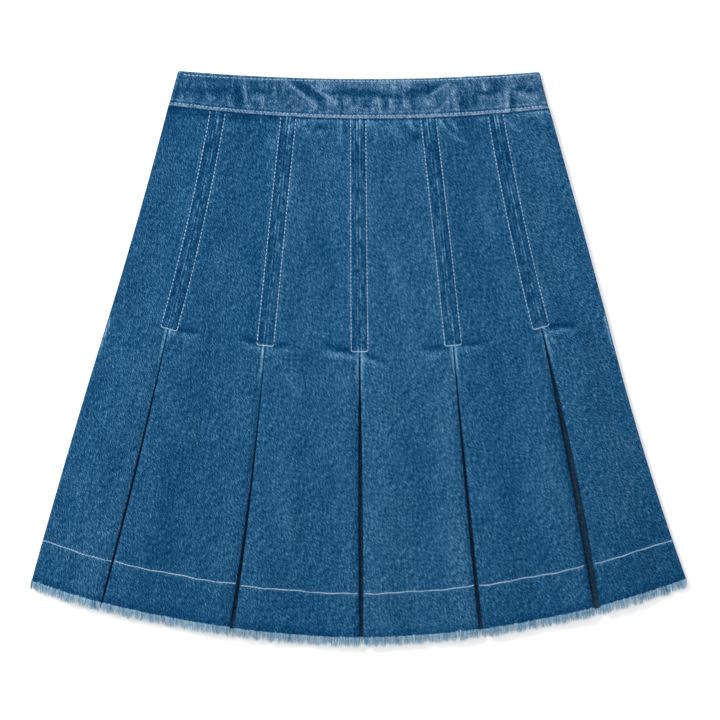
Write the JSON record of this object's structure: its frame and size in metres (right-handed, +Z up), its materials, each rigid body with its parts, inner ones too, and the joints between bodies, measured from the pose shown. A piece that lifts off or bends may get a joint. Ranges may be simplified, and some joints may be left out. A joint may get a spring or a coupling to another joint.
{
  "type": "denim skirt laid flat",
  "caption": "Blue denim A-line skirt laid flat, with a plain waistband, inverted pleats stitched down to the hip and released below, and a raw hem frayed into a short fringe.",
  "frame": {"origin": "on the surface the skirt lies on, under the middle of its overall width and length", "axes": "+X to the right as the front is seen from above, +Y towards the waistband, +Z up, away from the surface"},
  "size_m": [0.5898, 0.5196, 0.0089],
  "materials": {
    "denim": "stonewashed mid-blue twill, matt",
    "denim_waistband": "the same twill, doubled and more worn, with roping along the seam",
    "denim_unworn": "the same twill where the wash hardly reached it, darker",
    "frayed_threads": "loose pale blue and white cotton threads",
    "zip_tape": "fine woven polyester tape, dark blue",
    "zip_metal": "dull grey metal"
  },
  "bodies": {
    "root": {"waistband": "denim_waistband", "front_gore_1": "denim", "front_gore_2": "denim", "front_gore_3": "denim", "front_gore_4": "denim", "front_gore_5": "denim", "front_gore_6": "denim", "front_underlay_1": "denim_unworn", "front_underlay_2": "denim_unworn", "front_underlay_3": "denim_unworn", "front_underlay_4": "denim_unworn", "front_underlay_5": "denim_unworn", "front_fringe_1": "frayed_threads", "front_fringe_2": "frayed_threads", "front_fringe_3": "frayed_threads", "front_fringe_4": "frayed_threads", "front_fringe_5": "frayed_threads", "front_fringe_6": "frayed_threads", "back_gore_1": "denim", "back_gore_2": "denim", "back_gore_3": "denim", "back_gore_4": "denim", "back_gore_5": "denim", "back_gore_6": "denim", "back_underlay_1": "denim_unworn", "back_underlay_2": "denim_unworn", "back_underlay_3": "denim_unworn", "back_underlay_4": "denim_unworn", "back_underlay_5": "denim_unworn", "back_fringe_1": "frayed_threads", "back_fringe_2": "frayed_threads", "back_fringe_3": "frayed_threads", "back_fringe_4": "frayed_threads", "back_fringe_5": "frayed_threads", "back_fringe_6": "frayed_threads", "zip_tape_left": "zip_tape", "zip_tape_right": "zip_tape", "zip_slider": "zip_metal"}
  },
  "joints": []
}
